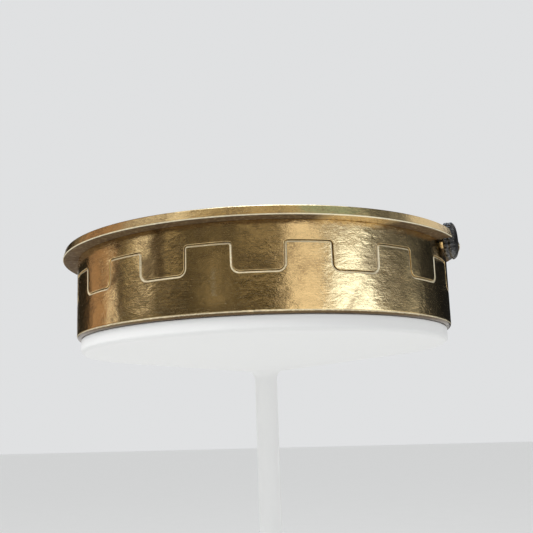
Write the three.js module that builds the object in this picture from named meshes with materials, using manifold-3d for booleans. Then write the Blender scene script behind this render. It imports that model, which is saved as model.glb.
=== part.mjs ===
// Pocket row counter in a round brass case: a crown at +X turns the units hand, and a train turns the tens hand
// once for every ten turns of it. Millimetres, +Z up through the dial, the case back on z = 0.
import * as THREE from "three";
import { mergeVertices } from "three/addons/utils/BufferGeometryUtils.js";
import Module from "manifold-3d";

// Case
const CASE_R = 22;
const CASE_BORE_R = 19.9;
const SHELL_R = 20.95; // inside of the toothed outer shell, outside of the cup's spigot
const RING_SHELL_R = 21.17; // inside of the ring's toothed shell, clear of the spigot
const CUP_EDGE_ROUND = 0.45;
const CASE_SIDES = 84;
const SPIGOT_TOP = 8.1;
const RING_STEP = 8.3;
const RING_TOP = 9.15;
const TEETH = 14;
const TOOTH_PHASE = -4.57; // degrees from +X to the middle of a cup tooth
const TOOTH_SILL = 4.2;
const TOOTH_CREST = 7.1;
const TOOTH_CORNER = 0.65;
const SEAM = 0.24;

// Lid
const LID_R = 20.2;
const LID_REBATE_R = 20.4;
const LID_THICK = 1;
const LIP_R = 18.4;
const LIP_TOP = 2;
const LID_SCREWS = 4;
const LID_SCREW_AT = 19.25;
const LID_SCREW_R = 0.42;
const LID_SCREW_HEAD = [0.8, 0.4]; // radius, thickness
const LID_SCREW_HOLE_R = 0.5;
const LID_SCREW_SINK_R = 0.86;
const LID_SCREW_SINK = 0.5;

// Bezel, crystal and dial
const FLANGE_R = 23.7;
const FLANGE_TOP_R = 23.35;
const FLANGE_TOP = 10.15;
const BEZEL_TOP_R = 20.95;
const BEZEL_TOP = 10.8;
const BEZEL_BORE_R = 19.5;
const CRYSTAL_R = 20.5;
const CRYSTAL_SEAT = 10.3;
const CRYSTAL_RIM_TOP = 10.85;
const CRYSTAL_TOP = 13.6;
const CRYSTAL_THICK = 0.9;
const CRYSTAL_INNER_R = 19.7;
const CRYSTAL_STEPS = 5;
const CRYSTAL_SIDES = 48;
const GASKET_BORE_R = 19.8;
const GASKET_THICK = 0.2;
const DIAL_R = 19.3;
const DIAL_Z = [10.2, 10.5];
const DIAL_CENTRE_HOLE_R = 0.8;
const DIAL_TENS_HOLE_R = 0.7;
const DIAL_SIDES = 60;

// Movement
const PLATE_R = 19.8;
const PLATE_Z = [2, 3.2];
const BRIDGE_R = 13.6;
const BRIDGE_Z = [6.4, 7.2];
const MOVEMENT_RING_R = [18.6, 19.4];
const PILLAR_AT = 12;
const PILLAR_SPOTS = [90, 210, 330]; // degrees from +X
const PILLAR_BORE_R = 0.56;
const BRIDGE_SCREW = { headR: 1, headThick: 0.5, threadR: 0.5, z: [4.8, 7.7] };
const ARBOR_R = 0.5;
const PIVOT_R = 0.48;
const PIVOT_Z = [1.9, 3.3];
const PIVOT_HOLE_R = 0.57;
const WHEEL_BORE_R = ARBOR_R + 0.02;
const ROUND_SIDES = 24;
const CARRY_AT = [-2.794, -4.147];
const TENS_AT = [0, -9];
const SHOULDER_R = 0.9;
const CARRY_SHOULDER_R = 0.8;
const SHOULDER_TOP = 3.6;
const CENTRE_TOP = 11.5;
const CARRY_TOP = 7.3;
const TENS_TOP = 11;
const FIRST_MODULE = 0.25; // centre pinion and carry wheel
const SECOND_MODULE = 0.4; // carry leaf pinion and tens wheel
const PINION_TEETH = 8;
const CARRY_TEETH = 32;
const TENS_TEETH = 20;
const CROSSINGS = 5;
const FIRST_PINION_Z = [3.65, 4.5];
const FIRST_WHEEL_Z = [3.7, 4.3];
const SECOND_PINION_Z = [4.5, 6];
const SECOND_WHEEL_Z = [4.9, 5.5];
const SECOND_SHOULDER_TOP = 4.8;
const CONTRATE_TEETH = 40;
const CONTRATE_MODULE = 0.18;
const CONTRATE_R = 4.3;
const CONTRATE_WEB_Z = [7.5, 8.38];
const CONTRATE_TOOTH_R = [3.05, 4.25];
const CONTRATE_TIP = 8.73;
const STAR_TEETH = 20;
const STAR_R = 2.8;
const STAR_DEPTH = 0.35;
const STAR_Z = [5, 5.6];
const CLICK_AT = [9, 3.2];
const CLICK_Z = [5.1, 5.5];
const CLICK_POST_R = [0.56, 0.95];
const CLICK_SCREW = { headR: 0.85, headThick: 0.4, threadR: 0.5, z: [3.5, 5.9] };
const UNITS_HAND = { length: 13.6, width: 0.9, bossR: 1.2, z: [11.05, 11.25] };
const TENS_HAND = { length: 3.7, width: 0.6, bossR: 0.9, z: [10.65, 10.85] };

// Crown and stem, along +X
const STEM_Z = 9.3;
const STEM_R = 0.45;
const STEM_BORE_R = 0.49;
const STEM_X = [2.75, 23.15];
const STEM_PINION_X = [2.95, 4.2];
const STEM_BLOCK_X = [5.2, 6.4];
const STEM_BLOCK_HALF = 1;
const STEM_BLOCK_TOP = 10.1;
const TUBE_R = 0.75;
const TUBE_X = [19.9, 22.2];
const TUBE_HOLE_R = 0.8;
const CROWN_R = 2.1;
const CROWN_X = [22.3, 23.6];
const CROWN_FLUTES = 24;
const CROWN_FLUTE_R = 0.17;
const CROWN_NOTCH_R = 2.45;
const CROWN_NOTCH_X = 22.15;

const wasm = await Module();
wasm.setup();
const TURN = 2 * Math.PI;
const rad = (degrees) => (degrees * Math.PI) / 180;
const point = (x, y) => new THREE.Vector2(x, y);

// A closed triangle mesh as a solid, with its faces turned outwards.
function solid(geometry) {
  const bare = new THREE.BufferGeometry();
  bare.setAttribute("position", geometry.getAttribute("position"));
  bare.setIndex(geometry.index);
  const merged = mergeVertices(bare, 1e-4);
  const index = [...merged.index.array];
  const kept = [];
  for (let i = 0; i < index.length; i += 3) {
    const [a, b, c] = index.slice(i, i + 3);
    if (a !== b && b !== c && a !== c) kept.push(a, b, c);
  }
  const vertProperties = merged.getAttribute("position").array;
  const build = (verts) =>
    new wasm.Manifold(new wasm.Mesh({ numProp: 3, vertProperties, triVerts: new Uint32Array(verts) }));
  const made = build(kept);
  return made.volume() > 0 ? made : build(kept.reverse());
}

// A profile of [radius, height] points turned about Z. It closes itself unless it starts and ends on the axis.
function turned(profile, segments = 48) {
  const points = profile.map(([r, z]) => point(r, z));
  const onAxis = profile[0][0] === 0 && profile.at(-1)[0] === 0;
  if (!onAxis) points.push(points[0].clone());
  return solid(new THREE.LatheGeometry(points, segments).rotateX(Math.PI / 2));
}

const disc = (r, z0, z1, segments = 32) => turned([[0, z0], [r, z0], [r, z1], [0, z1]], segments);
const tube = (r0, r1, z0, z1, segments = 32) => turned([[r0, z0], [r1, z0], [r1, z1], [r0, z1]], segments);

// An outline of Vector2 points or a Shape, raised from z0 to z1.
function raised(outline, z0, z1, curveSegments = 6) {
  const shape = Array.isArray(outline) ? new THREE.Shape(outline) : outline;
  const depth = z1 - z0;
  const geometry = new THREE.ExtrudeGeometry(shape, { depth, bevelEnabled: false, curveSegments });
  return solid(geometry.translate(0, 0, z0));
}

const at = (body, x, y, z = 0) => body.translate([x, y, z]);
const spun = (body, degrees) => body.rotate([0, 0, degrees]);
const polar = (r, degrees) => [r * Math.cos(rad(degrees)), r * Math.sin(rad(degrees))];
const without = (body, ...cutters) => cutters.reduce((left, cutter) => left.subtract(cutter), body);
const joined = (first, ...others) => others.reduce((left, other) => left.add(other), first);
const alongX = (body, z = STEM_Z) => body.rotate([0, 90, 0]).translate([0, 0, z]);

const part = new THREE.Group();
part.name = "row_counter";

// Adds a solid to the group as a named mesh.
function piece(name, body, color, metalness = 0.9, roughness = 0.35) {
  const mesh = body.getMesh();
  const geometry = new THREE.BufferGeometry();
  geometry.setAttribute("position", new THREE.BufferAttribute(mesh.vertProperties, 3));
  geometry.setIndex(new THREE.BufferAttribute(mesh.triVerts, 1));
  geometry.computeVertexNormals();
  const material = new THREE.MeshStandardMaterial({ color, metalness, roughness });
  const made = new THREE.Mesh(geometry, material);
  made.name = name;
  part.add(made);
}

const BRASS = 0xb08d4f;
const GILT = 0xc9a558;
const STEEL = 0x8a8d92;
const BLUED = 0x26324a;

// One case tooth of the ring in the unrolled wall, [across, up]: it hangs to low, its lower corners rounded.
function toothOutline(width, low, high, corner) {
  const half = width / 2;
  const shape = new THREE.Shape();
  shape.moveTo(-half, high);
  shape.lineTo(-half, low + corner);
  shape.quadraticCurveTo(-half, low, -half + corner, low);
  shape.lineTo(half - corner, low);
  shape.quadraticCurveTo(half, low, half, low + corner);
  shape.lineTo(half, high);
  shape.closePath();
  return shape;
}

// The space between two such teeth, up to high, flaring round their lower corners.
function spaceOutline(width, low, high, corner) {
  const half = width / 2;
  const shape = new THREE.Shape();
  shape.moveTo(-half, high);
  shape.lineTo(-half, low + corner);
  shape.quadraticCurveTo(-half, low, -half - corner, low);
  shape.lineTo(-half - corner, low - 0.5);
  shape.lineTo(half + corner, low - 0.5);
  shape.lineTo(half + corner, low);
  shape.quadraticCurveTo(half, low, half, low + corner);
  shape.lineTo(half, high);
  shape.closePath();
  return shape;
}

// Radial blocks of one outline, one to each tooth of the cup, or with a shift of half a pitch to each gap.
function radialBlocks(outline, shift = 0) {
  const block = raised(outline, SHELL_R - 0.01, CASE_R + 1, 3).rotate([90, 0, 0]).rotate([0, 0, 90]);
  const blocks = [];
  for (let i = 0; i < TEETH; i += 1) blocks.push(spun(block, TOOTH_PHASE + ((i + shift) * 360) / TEETH));
  return blocks;
}

const toothWidth = (TURN * CASE_R) / TEETH / 2;

function caseCup() {
  const round = [];
  for (let i = 0; i <= 3; i += 1) {
    const a = rad((i * 90) / 3);
    round.push([CASE_R - CUP_EDGE_ROUND * (1 - Math.sin(a)), CUP_EDGE_ROUND * (1 - Math.cos(a))]);
  }
  const top = TOOTH_CREST - SEAM / 2;
  const shell = turned([
    [LID_REBATE_R, 0],
    ...round,
    [CASE_R, top],
    [SHELL_R, top],
    [SHELL_R, SPIGOT_TOP],
    [CASE_BORE_R, SPIGOT_TOP],
    [CASE_BORE_R, LIP_TOP],
    [LIP_R, LIP_TOP],
    [LIP_R, LID_THICK],
    [LID_REBATE_R, LID_THICK],
  ], CASE_SIDES);
  const gap = toothOutline(toothWidth + SEAM, TOOTH_SILL - SEAM / 2, top + 0.5, TOOTH_CORNER + SEAM);
  const holes = lidScrewSpots().map(([x, y]) => at(disc(LID_SCREW_HOLE_R, 0.5, LIP_TOP + 0.5, 12), x, y));
  return without(shell, ...radialBlocks(gap, 0.5), ...holes);
}

function caseRing() {
  const low = TOOTH_SILL + SEAM / 2;
  const shell = turned([
    [RING_SHELL_R, low],
    [CASE_R, low],
    [CASE_R, RING_TOP],
    [CASE_BORE_R, RING_TOP],
    [CASE_BORE_R, RING_STEP],
    [RING_SHELL_R, RING_STEP],
  ], CASE_SIDES);
  const space = spaceOutline(toothWidth + SEAM, low, TOOTH_CREST + SEAM / 2, TOOTH_CORNER);
  return without(shell, ...radialBlocks(space), alongX(disc(TUBE_HOLE_R, 19, 23, 16)));
}

function lidScrewSpots() {
  const spots = [];
  for (let i = 0; i < LID_SCREWS; i += 1) spots.push(polar(LID_SCREW_AT, 45 + (i * 360) / LID_SCREWS));
  return spots;
}

function caseLid() {
  const plate = disc(LID_R, 0, LID_THICK, 72);
  const holes = lidScrewSpots().flatMap(([x, y]) => [
    at(disc(LID_SCREW_SINK_R, -1, LID_SCREW_SINK, 20), x, y),
    at(disc(LID_SCREW_HOLE_R, -1, 2, 12), x, y),
  ]);
  return without(plate, ...holes);
}

// A slotted cheese-head screw, head upwards: z is the end of its thread and the outer face of its head.
function screw({ headR, headThick, threadR, z: [z0, z1] }) {
  const neck = z1 - headThick;
  const body = turned([[0, z0], [threadR, z0], [threadR, neck], [headR, neck], [headR, z1], [0, z1]], 20);
  const slot = raised([point(-2, -0.1), point(2, -0.1), point(2, 0.1), point(-2, 0.1)], z1 - 0.2, z1 + 1);
  return body.subtract(slot);
}

function lidParts() {
  const [headR, headThick] = LID_SCREW_HEAD;
  const upright = screw({ headR, headThick, threadR: LID_SCREW_R, z: [-1.85, -0.1] });
  piece("case_lid", caseLid(), BRASS);
  lidScrewSpots().forEach(([x, y], i) => {
    const inverted = upright.rotate([180, 0, 0]);
    piece(`lid_screw_${i + 1}`, at(spun(inverted, 30 + 47 * i), x, y), STEEL);
  });
}

function bezel() {
  const ring = turned([
    [BEZEL_BORE_R, RING_TOP],
    [FLANGE_R - 0.12, RING_TOP],
    [FLANGE_R, RING_TOP + 0.1],
    [FLANGE_TOP_R + 0.12, FLANGE_TOP - 0.15],
    [FLANGE_TOP_R - 0.1, FLANGE_TOP],
    [BEZEL_TOP_R, BEZEL_TOP],
    [CRYSTAL_R + 0.1, BEZEL_TOP],
    [CRYSTAL_R + 0.1, CRYSTAL_SEAT],
    [BEZEL_BORE_R, CRYSTAL_SEAT],
  ], CASE_SIDES);
  const notch = alongX(disc(CROWN_NOTCH_R, CROWN_NOTCH_X, 26, 40));
  return without(ring, notch, alongX(disc(TUBE_HOLE_R, 19, 23, 24)));
}

// The crystal is a dome of even thickness, with a flat rim that sits on its gasket.
function crystal() {
  const seat = CRYSTAL_SEAT + GASKET_THICK;
  const dome = (rim, low, top) => {
    const rise = top - low;
    const sphere = (rim * rim + rise * rise) / (2 * rise);
    const line = [];
    for (let i = 0; i <= CRYSTAL_STEPS; i += 1) {
      const r = (rim * i) / CRYSTAL_STEPS;
      line.push([r, top - sphere + Math.sqrt(sphere * sphere - r * r)]);
    }
    return line;
  };
  const outer = dome(CRYSTAL_R, CRYSTAL_RIM_TOP, CRYSTAL_TOP).reverse();
  const inner = dome(CRYSTAL_INNER_R, seat, CRYSTAL_TOP - CRYSTAL_THICK);
  return turned([...inner, [CRYSTAL_R, seat], ...outer], CRYSTAL_SIDES);
}

function dialParts() {
  const plate = disc(DIAL_R, ...DIAL_Z, DIAL_SIDES);
  const holes = [
    disc(DIAL_CENTRE_HOLE_R, 9, 12, 20),
    at(disc(DIAL_TENS_HOLE_R, 9, 12, 20), ...TENS_AT),
  ];
  const seal = tube(GASKET_BORE_R, CRYSTAL_R, CRYSTAL_SEAT, CRYSTAL_SEAT + GASKET_THICK, CRYSTAL_SIDES);
  piece("dial", without(plate, ...holes), 0xe8e2d0, 0.1, 0.5);
  piece("crystal", crystal(), 0xdfe8ec, 0, 0.05);
  piece("crystal_gasket", seal, 0x202020, 0, 0.8);
}

function caseParts() {
  piece("case_cup", caseCup(), BRASS);
  piece("case_ring", caseRing(), BRASS);
  piece("bezel", bezel(), BRASS);
}

const pillarSpots = PILLAR_SPOTS.map((degrees) => polar(PILLAR_AT, degrees));

function mainPlate() {
  const plate = disc(PLATE_R, ...PLATE_Z, 60);
  const pivots = [[0, 0], CARRY_AT, TENS_AT].map(([x, y]) => at(disc(PIVOT_HOLE_R, 1, 4, 20), x, y));
  const windows = [at(disc(3.2, 1, 4, 32), 8.6, 6.2), at(disc(3.2, 1, 4, 32), -8.6, 6.2)];
  return without(plate, ...pivots, ...windows);
}

// The bridge has a half-round bay at +X, where the click spring can be reached.
function bridge() {
  const plate = disc(BRIDGE_R, ...BRIDGE_Z, 56);
  const pivots = [[0, 0], CARRY_AT, TENS_AT].map(([x, y]) => at(disc(PIVOT_HOLE_R, 6, 8, 20), x, y));
  const screws = pillarSpots.map(([x, y]) => at(disc(0.6, 6, 8, 16), x, y));
  const bays = [at(disc(3.6, 6, 8, 32), 8.6, 7.4), at(disc(3.6, 6, 8, 32), -9, 4.6)];
  return without(plate, ...pivots, ...screws, ...bays);
}

// A pillar with a wider foot, bored from the top for the bridge's screw.
function pillar() {
  const [foot, top] = [PLATE_Z[1], BRIDGE_Z[0]];
  const boreEnd = BRIDGE_SCREW.z[0] - 0.2;
  return turned([
    [0, foot],
    [1.3, foot],
    [1.3, foot + 0.4],
    [1, foot + 0.6],
    [1, top],
    [PILLAR_BORE_R, top],
    [PILLAR_BORE_R, boreEnd],
    [0, boreEnd],
  ], ROUND_SIDES);
}

function frameParts() {
  piece("main_plate", mainPlate(), GILT);
  piece("bridge", bridge(), GILT);
  pillarSpots.forEach(([x, y], i) => {
    piece(`pillar_${i + 1}`, at(pillar(), x, y), GILT);
    piece(`bridge_screw_${i + 1}`, at(spun(screw(BRIDGE_SCREW), 20 + 65 * i), x, y), BLUED);
  });
  const ring = tube(...MOVEMENT_RING_R, PLATE_Z[1], DIAL_Z[0], 60);
  piece("movement_ring", without(ring, alongX(disc(TUBE_HOLE_R, 15, 22, 24))), GILT);
}

// The outline of a spur gear with one tooth centred on the +X axis.
function gearOutline(teeth, module, share = 0.44) {
  const pitch = (teeth * module) / 2;
  const tip = pitch + 0.8 * module;
  const root = pitch - 1.1 * module;
  const step = TURN / teeth;
  const half = (share * step) / 2;
  const points = [];
  for (let i = 0; i < teeth; i += 1) {
    const a = i * step;
    const corners = [
      [root, -1.35 * half],
      [pitch, -half],
      [tip, -0.45 * half],
      [tip, 0.45 * half],
      [pitch, half],
      [root, 1.35 * half],
    ];
    corners.forEach(([r, da]) => points.push(point(r * Math.cos(a + da), r * Math.sin(a + da))));
  }
  return points;
}

const gear = (teeth, module, z0, z1, degrees) => spun(raised(gearOutline(teeth, module), z0, z1), degrees);
const bearing = (from, to) => (Math.atan2(to[1] - from[1], to[0] - from[0]) * 360) / TURN;

// A wheel with a rim, a hub and round crossings between them.
function wheel(teeth, module, z0, z1, degrees) {
  const rim = (teeth * module) / 2 - 2.2 * module;
  const hub = 1.3;
  const holeR = (rim - hub) / 2;
  const holes = [];
  for (let i = 0; i < CROSSINGS; i += 1) {
    const [x, y] = polar(hub + holeR, (i * 360) / CROSSINGS);
    holes.push(at(disc(holeR * 0.86, z0 - 1, z1 + 1, 14), x, y));
  }
  const bore = disc(WHEEL_BORE_R, z0 - 1, z1 + 1, ROUND_SIDES);
  return without(gear(teeth, module, z0, z1, degrees), bore, ...holes);
}

// An arbor with its shoulders: [radius, height] steps from the bottom to the top.
const arbor = (...steps) => turned([[0, steps[0][1]], ...steps, [0, steps.at(-1)[1]]], ROUND_SIDES);
const pivot = PIVOT_Z.map((z) => [PIVOT_R, z]);

// The contrate wheel's upright teeth stand on a disc and point along its radii.
function contrateWheel() {
  const [low, high] = CONTRATE_WEB_Z;
  const web = disc(CONTRATE_R, low, high, 48);
  const root = high - 0.08;
  const profile = [
    point(-0.11, root),
    point(0.11, root),
    point(0.06, CONTRATE_TIP),
    point(-0.06, CONTRATE_TIP),
  ];
  const tooth = raised(profile, ...CONTRATE_TOOTH_R).rotate([90, 0, 0]).rotate([0, 0, 90]);
  const teeth = [];
  for (let i = 0; i < CONTRATE_TEETH; i += 1) teeth.push(spun(tooth, ((i + 0.5) * 360) / CONTRATE_TEETH));
  const holes = [45, 135, 225, 315].map((a) => at(disc(0.55, low - 1, high + 1, 16), ...polar(1.9, a)));
  return without(joined(web, ...teeth), disc(WHEEL_BORE_R, low - 1, high + 1, ROUND_SIDES), ...holes);
}

function starWheel() {
  const points = [];
  for (let i = 0; i < STAR_TEETH * 2; i += 1) {
    const r = i % 2 ? STAR_R : STAR_R - STAR_DEPTH;
    points.push(point(...polar(r, (i * 180) / STAR_TEETH)));
  }
  return raised(points, ...STAR_Z).subtract(disc(WHEEL_BORE_R, 4, 7, ROUND_SIDES));
}

// A hand: a boss with a hole, a tapering blade along +Y and a short tail.
function hand({ length, width, bossR, z: [z0, z1] }) {
  const blade = [
    point(-width * 0.55, -bossR * 1.9),
    point(width * 0.55, -bossR * 1.9),
    point(width / 2, 0),
    point(width / 2, length * 0.72),
    point(0, length),
    point(-width / 2, length * 0.72),
    point(-width / 2, 0),
  ];
  const body = joined(raised(blade, z0, z1), disc(bossR, z0, z1, 28));
  return body.subtract(disc(WHEEL_BORE_R, z0 - 1, z1 + 1, ROUND_SIDES));
}

function centreParts() {
  const toCarry = bearing([0, 0], CARRY_AT);
  const shoulder = [[SHOULDER_R, PIVOT_Z[1]], [SHOULDER_R, SHOULDER_TOP]];
  const shaft = arbor(...pivot, ...shoulder, [ARBOR_R, SHOULDER_TOP], [ARBOR_R, CENTRE_TOP]);
  piece("centre_arbor", shaft, STEEL);
  const leaves = gear(PINION_TEETH, FIRST_MODULE, ...FIRST_PINION_Z, toCarry);
  piece("centre_pinion", leaves.subtract(disc(WHEEL_BORE_R, 3, 5, ROUND_SIDES)), STEEL);
  piece("star_wheel", starWheel(), STEEL);
  piece("contrate_wheel", contrateWheel(), GILT);
  piece("units_hand", hand(UNITS_HAND), BLUED);
}

function carryParts() {
  const fromCentre = bearing([0, 0], CARRY_AT);
  const toTens = bearing(CARRY_AT, TENS_AT);
  const phase = fromCentre + 180 + 180 / CARRY_TEETH;
  piece("carry_wheel", at(wheel(CARRY_TEETH, FIRST_MODULE, ...FIRST_WHEEL_Z, phase), ...CARRY_AT), GILT);
  const shoulder = [[CARRY_SHOULDER_R, PIVOT_Z[1]], [CARRY_SHOULDER_R, SHOULDER_TOP]];
  const shaft = arbor(...pivot, ...shoulder, [ARBOR_R, SHOULDER_TOP], [ARBOR_R, CARRY_TOP]);
  const leaves = gear(PINION_TEETH, SECOND_MODULE, ...SECOND_PINION_Z, toTens);
  piece("carry_arbor", at(joined(shaft, leaves), ...CARRY_AT), STEEL);
}

function tensParts() {
  const fromCarry = bearing(CARRY_AT, TENS_AT);
  const phase = fromCarry + 180 + 180 / TENS_TEETH;
  piece("tens_wheel", at(wheel(TENS_TEETH, SECOND_MODULE, ...SECOND_WHEEL_Z, phase), ...TENS_AT), GILT);
  const shoulder = [[SHOULDER_R, PIVOT_Z[1]], [SHOULDER_R, SECOND_SHOULDER_TOP]];
  const shaft = arbor(...pivot, ...shoulder, [ARBOR_R, SECOND_SHOULDER_TOP], [ARBOR_R, TENS_TOP]);
  piece("tens_arbor", at(shaft, ...TENS_AT), STEEL);
  piece("tens_hand", at(hand(TENS_HAND), ...TENS_AT), BLUED);
}

// The click: a bent leaf from its foot to a nib that rests between two points of the star wheel.
function clickParts() {
  const outline = [
    point(8.1, 2.3),
    point(9.9, 2.3),
    point(9.9, 4.1),
    point(8.1, 4.1),
    point(6.5, 4.15),
    point(1.1, 3.85),
    point(-0.14, 3.2),
    point(0, 2.56),
    point(0.16, 3.1),
    point(1.3, 3.62),
    point(6.5, 3.9),
    point(8.1, 3.5),
  ];
  const leaf = raised(outline, ...CLICK_Z);
  const post = tube(...CLICK_POST_R, PLATE_Z[1], CLICK_Z[0], ROUND_SIDES);
  piece("click_spring", leaf.subtract(at(disc(CLICK_POST_R[0], 4, 7, 16), ...CLICK_AT)), STEEL);
  piece("click_post", at(post, ...CLICK_AT), GILT);
  piece("click_screw", at(spun(screw(CLICK_SCREW), 40), ...CLICK_AT), BLUED);
}

// The crown, pressed onto the stem's end: two fluted bands with a groove between them, and a domed end.
function crown() {
  const [inner, outer] = CROWN_X;
  const body = turned([
    [0, inner],
    [CROWN_R - 0.25, inner],
    [CROWN_R, inner + 0.15],
    [CROWN_R, inner + 0.5],
    [CROWN_R - 0.12, inner + 0.55],
    [CROWN_R - 0.12, inner + 0.65],
    [CROWN_R, inner + 0.7],
    [CROWN_R, inner + 0.9],
    [CROWN_R - 0.15, inner + 1.1],
    [CROWN_R - 0.45, outer - 0.06],
    [CROWN_R - 1, outer],
    [0, outer],
  ], 48);
  const grooves = [];
  for (let i = 0; i < CROWN_FLUTES; i += 1) {
    const [x, y] = polar(CROWN_R + 0.08, ((i + 0.5) * 360) / CROWN_FLUTES);
    grooves.push(at(disc(CROWN_FLUTE_R, inner - 1, outer + 1, 8), x, y));
  }
  const bore = disc(STEM_R + 0.02, inner - 1, outer - 0.4, ROUND_SIDES);
  return alongX(without(body, ...grooves, bore));
}

function stemParts() {
  piece("stem", alongX(disc(STEM_R, ...STEM_X, ROUND_SIDES)), STEEL);
  const leaves = gear(PINION_TEETH, CONTRATE_MODULE, ...STEM_PINION_X, 0);
  const bored = leaves.subtract(disc(STEM_R + 0.02, 2, 5, ROUND_SIDES));
  piece("stem_pinion", alongX(bored), STEEL);
  piece("crown_tube", alongX(tube(STEM_BORE_R, TUBE_R, ...TUBE_X, ROUND_SIDES)), BRASS);
  const [near, far] = STEM_BLOCK_X;
  const half = STEM_BLOCK_HALF;
  const plan = [point(near, -half), point(far, -half), point(far, half), point(near, half)];
  const block = raised(plan, BRIDGE_Z[1], STEM_BLOCK_TOP);
  piece("stem_block", block.subtract(alongX(disc(STEM_BORE_R, 4, 8, ROUND_SIDES))), GILT);
  piece("crown", crown(), 0x3a3a3c, 0.8, 0.4);
}

caseParts();
lidParts();
dialParts();
frameParts();
centreParts();
carryParts();
tensParts();
clickParts();
stemParts();

export default part;
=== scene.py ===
import math

import bpy
import numpy as np
from mathutils import Matrix, Vector

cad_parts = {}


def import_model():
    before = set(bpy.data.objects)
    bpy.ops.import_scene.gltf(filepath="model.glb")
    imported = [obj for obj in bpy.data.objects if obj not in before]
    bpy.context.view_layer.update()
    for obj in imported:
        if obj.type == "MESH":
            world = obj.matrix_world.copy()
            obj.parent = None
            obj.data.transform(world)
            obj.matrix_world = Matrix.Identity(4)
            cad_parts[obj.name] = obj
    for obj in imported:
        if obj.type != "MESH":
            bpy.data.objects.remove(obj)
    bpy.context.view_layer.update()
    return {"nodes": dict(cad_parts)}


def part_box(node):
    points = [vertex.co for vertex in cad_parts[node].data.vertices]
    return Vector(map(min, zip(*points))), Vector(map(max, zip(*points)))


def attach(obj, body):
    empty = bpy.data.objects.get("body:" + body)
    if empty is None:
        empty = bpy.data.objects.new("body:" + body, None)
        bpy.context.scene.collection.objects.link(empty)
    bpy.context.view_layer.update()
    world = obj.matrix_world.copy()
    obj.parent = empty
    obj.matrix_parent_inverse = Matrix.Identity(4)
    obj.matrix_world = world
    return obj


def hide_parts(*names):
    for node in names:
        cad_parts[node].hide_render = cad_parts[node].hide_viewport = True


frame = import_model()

# Everything is in metres in the CAD frame: +Z up through the dial, the crown along +X, the back on z = 0.
MM = 0.001

# The case, from the frame
CASE_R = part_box("case_cup")[1].x
RING_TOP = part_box("case_ring")[1].z
SPIGOT_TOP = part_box("case_cup")[1].z
DIAL_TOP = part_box("dial")[1].z
CRYSTAL_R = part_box("crystal")[1].x
CRYSTAL_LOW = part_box("crystal")[0].z
CRYSTAL_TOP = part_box("crystal")[1].z
FLANGE_R = -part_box("bezel")[0].x
BEZEL_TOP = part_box("bezel")[1].z
CROWN_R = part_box("crown")[1].y
CROWN_X = (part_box("crown")[0].x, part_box("crown")[1].x)
STEM_Z = (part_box("stem")[0].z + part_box("stem")[1].z) / 2
TENS_AT = (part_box("tens_arbor")[0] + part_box("tens_arbor")[1]) / 2

# The castellated joint between the cup and the ring
TEETH = 14
TOOTH_PHASE = math.radians(-4.57)
SEAM = 0.04 * MM
TOOTH_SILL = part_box("case_ring")[0].z - 0.12 * MM
TOOTH_CREST = 7.1 * MM
U_CORNER = 0.65 * MM
TOP_CORNER = 0.36 * MM
CUP_EDGE = 0.27 * MM
RING_EDGE = 0.05 * MM
DRAFT = 0.012

CUP_EDGE_ROUND = 0.45 * MM
CROWN_NOTCH_HALF = 6.1  # degrees
CROWN_NOTCH_SEAT = 22.15 * MM
CROWN_FLUTES = 24
FLUTE_DEPTH = 0.17 * MM
CRYSTAL_INNER_R = 19.7 * MM
CRYSTAL_THICK = 0.9 * MM
CRYSTAL_EDGE = 0.05 * MM

# The dial's print: each track is (inner circle's radii, outer circle's radii)
PRINT_LIFT = 0.012 * MM
UNITS_TRACK = ((16.9 * MM, 16.96 * MM), (17.9 * MM, 18.0 * MM))
TENS_TRACK = ((4.3 * MM, 4.34 * MM), (4.75 * MM, 4.82 * MM))
UNITS_FIGURES = (14.2 * MM, 4.1 * MM)  # circle's radius, figures' size
TENS_FIGURES = (3.35 * MM, 1.25 * MM)

# The stage
FLOOR_DROP = 130 * MM
FLOOR_HALF = 4.0
CASE_BORE_R = 19.9 * MM
SPIGOT_R = 20.95 * MM
RING_SHELL_R = 21.17 * MM
REBATE_R = 20.4 * MM
LIP_R = 18.4 * MM

# The photograph's view: the camera stands below the case's back, in degrees of turn about Z,
# and the crown is 68 degrees round to its right.
VIEW_TURN = 22
VIEW_ELEVATION = -9.12
VIEW_ROLL = 1.98
VIEW_DISTANCE = 4.52 * CASE_R
VIEW_TARGET_Z = 0.25 * CASE_R
LENS = 55.2
AIM_RIGHT, AIM_UP = 0.0043, 0.0324


# ---------------------------------------------------------------- node helpers

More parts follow.
